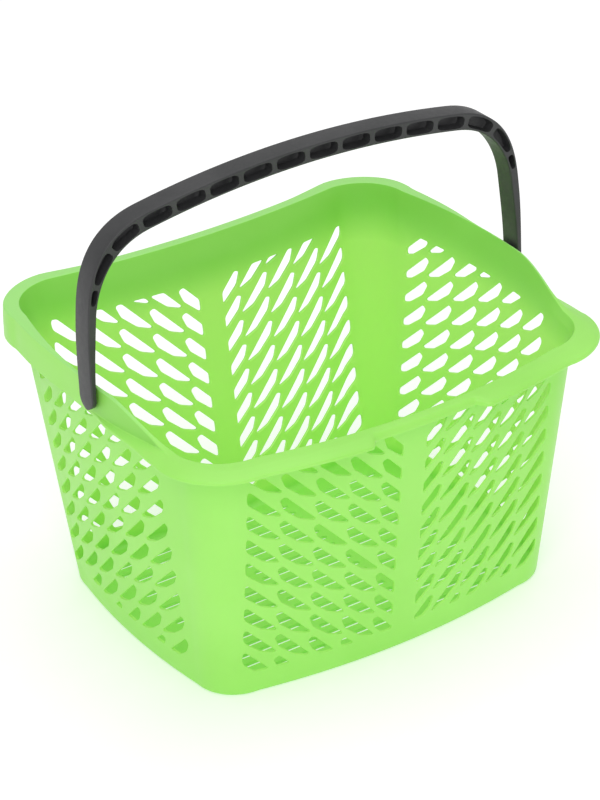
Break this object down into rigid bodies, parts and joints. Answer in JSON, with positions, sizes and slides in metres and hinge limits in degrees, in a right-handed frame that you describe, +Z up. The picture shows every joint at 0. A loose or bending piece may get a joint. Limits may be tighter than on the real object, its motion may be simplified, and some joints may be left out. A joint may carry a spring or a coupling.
{
  "type": "hand shopping basket",
  "caption": "Perforated plastic shopping basket with a flanged rim and a swing handle on two pivot pins.",
  "frame": {"origin": "middle of the base on the floor, halfway along the basket and between the corners of its long sides", "axes": "+X along the basket, -Y towards the bowed-out front long side, +Z up"},
  "size_m": [0.4272, 0.3798, 0.421],
  "materials": {
    "basket_green": "satin moulded polypropylene, light green",
    "handle_charcoal": "satin moulded polypropylene, charcoal",
    "pin_green": "satin moulded polypropylene, light green"
  },
  "bodies": {
    "basket": {"basket_body": "basket_green", "pivot_pin_left": "pin_green", "pivot_pin_right": "pin_green"},
    "handle": {"carry_handle": "handle_charcoal"}
  },
  "joints": [
    {"name": "handle_swing", "type": "hinge", "parent": "basket", "child": "handle", "pos_m": [0, -0.02, 0.2575], "axis": [1, 0, 0], "range_deg": [-62, 84]}
  ]
}
